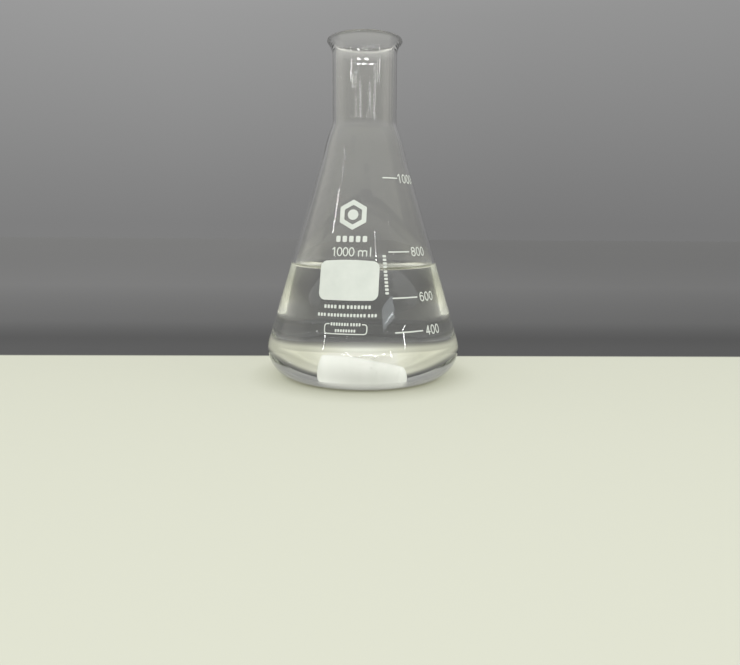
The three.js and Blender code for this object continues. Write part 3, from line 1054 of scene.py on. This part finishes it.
def pale_floor(nodes, place):
    """The pale floor with the flask's contact shadow on it."""
    flat = nodes.vectors("MULTIPLY", place, (1, 1, 0))
    away = nodes.vectors("LENGTH", flat, output="Value")
    return nodes.mixed(1.0, (*PALE_FLOOR, 1), nodes.ramp(away, CONTACT_SHADOW), "MULTIPLY")


def gathered_light(nodes, across, depth):
    """The colour of the light that the water gathers behind the foot, and how much of it there is."""
    aside = nodes.maths("ABSOLUTE", across)
    beyond = nodes.maths("MAXIMUM", nodes.maths("SUBTRACT", depth, GATHERED_NARROWS), 0.0)
    within = nodes.between(nodes.maths("ADD", aside, beyond), *GATHERED_WIDTH, kind="SMOOTHSTEP")
    share = nodes.maths("MULTIPLY", within, nodes.grey_ramp(depth, GATHERED_ALONG))
    close = nodes.between(depth, *GATHERED_CLOSE)
    colour = nodes.vectors("MULTIPLY", nodes.ramp(aside, GATHERED_COLOURS), close)
    return nodes.vectors("MINIMUM", colour, GATHERED_MOST), share


def add_floor():
    """A pale floor under and in front of the flask, with the grey of a backdrop behind it."""
    made, nodes = material("stage_floor")
    place = nodes.place()
    axes = nodes.add("ShaderNodeSeparateXYZ", {0: place})
    across = axes.outputs["X"]
    depth = axes.outputs["Y"]
    behind = nodes.between(depth, *BACKDROP_START)
    ground = nodes.mixed(behind, pale_floor(nodes, place), backdrop_colour(nodes, across, depth))
    gathered, share = gathered_light(nodes, across, depth)
    nodes.surface(colour=nodes.mixed(share, ground, gathered), roughness=0.6, specular=0.0)
    corners = ((-1, -1), (1, -1), (1, 1), (-1, 1))
    vertices = [(FLOOR_HALF_WIDTH * x, FLOOR_HALF_WIDTH * y, -FLOOR_DROP) for x, y in corners]
    floor = mesh_object("floor", vertices, [(0, 1, 2, 3)], [made], rounded=False)


def add_world():
    """A studio that is grey behind the flask and pale over and in front of it."""
    world = bpy.data.worlds.new("studio")
    bpy.context.scene.world = world
    world.use_nodes = True
    nodes = Nodes(world.node_tree)
    way = nodes.place("Generated")
    axes = nodes.add("ShaderNodeSeparateXYZ", {0: way})
    sideways = nodes.between(axes.outputs["X"], *WORLD_SIDEWAYS)
    behind = nodes.vectors("MULTIPLY", nodes.ramp(axes.outputs["Z"], WORLD_BEHIND), sideways)
    front = nodes.ramp(axes.outputs["Z"], WORLD_FRONT)
    total = nodes.mixed(nodes.between(axes.outputs["Y"], *WORLD_TURN), behind, front)
    for to_side, strength in GLOWS:
        facing = nodes.vectors("DOT_PRODUCT", way, to_side, output="Value")
        glow = nodes.between(facing, *GLOW_EDGE, 0.0, strength, kind="SMOOTHSTEP")
        total = nodes.vectors("ADD", total, nodes.vectors("MULTIPLY", GLOW_TINT, glow))
    light = nodes.add("ShaderNodeBackground", {"Color": total, "Strength": 1.0})
    nodes.add("ShaderNodeOutputWorld", {"Surface": light.outputs[0]})


def add_lamp(name, azimuth, elevation, width, height, radiance, colour=WHITE,
             distance=LAMP_DISTANCE, mirrored=True):
    """A soft rectangle of light that faces the flask."""
    turn = math.radians(azimuth)
    level = math.cos(math.radians(elevation))
    way = Vector((math.sin(turn) * level, -math.cos(turn) * level, math.sin(math.radians(elevation))))
    data = bpy.data.lights.new(name, "AREA")
    data.shape = "RECTANGLE"
    data.size = width
    data.size_y = height
    data.energy = radiance * math.pi * width * height
    data.color = colour
    made = bpy.data.objects.new(name, data)
    made.rotation_mode = "QUATERNION"
    made.rotation_quaternion = (-way).to_track_quat("-Z", "Y")
    made.location = LAMP_TARGET + distance * way
    made.visible_camera = False
    made.visible_glossy = mirrored
    made.visible_transmission = mirrored
    bpy.context.scene.collection.objects.link(made)


def add_lamps():
    for name, softbox in SOFTBOXES.items():
        add_lamp(name, *softbox, distance=SOFTBOX_DISTANCE, mirrored=False)
    for name, window in WINDOWS.items():
        add_lamp(name, *window)
    for i, tube in enumerate(TUBES):
        add_lamp(f"tube_{i}", *tube, TUBE_RADIANCE)
    for i, (azimuth, width) in enumerate(STRIPS):
        add_lamp(f"strip_{i}", azimuth, STRIP_ELEVATION, width, STRIP_HEIGHT, STRIP_RADIANCE)
    for i in range(DASH_COUNT):
        for name, (azimuth, elevation) in DASH_ROWS.items():
            add_lamp(f"{name}_{i}", azimuth + DASH_PITCH * i, elevation, *DASH_SIZE, DASH_RADIANCE)


def set_up_render():
    """Plain colours, and enough bounces for the many surfaces of glass round water."""
    scene = bpy.context.scene
    scene.view_settings.view_transform = "Standard"
    scene.cycles.max_bounces = 32
    scene.cycles.transmission_bounces = 28
    scene.cycles.transparent_max_bounces = 32
    scene.cycles.glossy_bounces = 8


def main():
    add_camera()
    set_up_render()
    add_world()
    add_floor()
    add_lamps()
    build_flask()
    build_water()
    build_stir_bar()
    print_marks()


main()
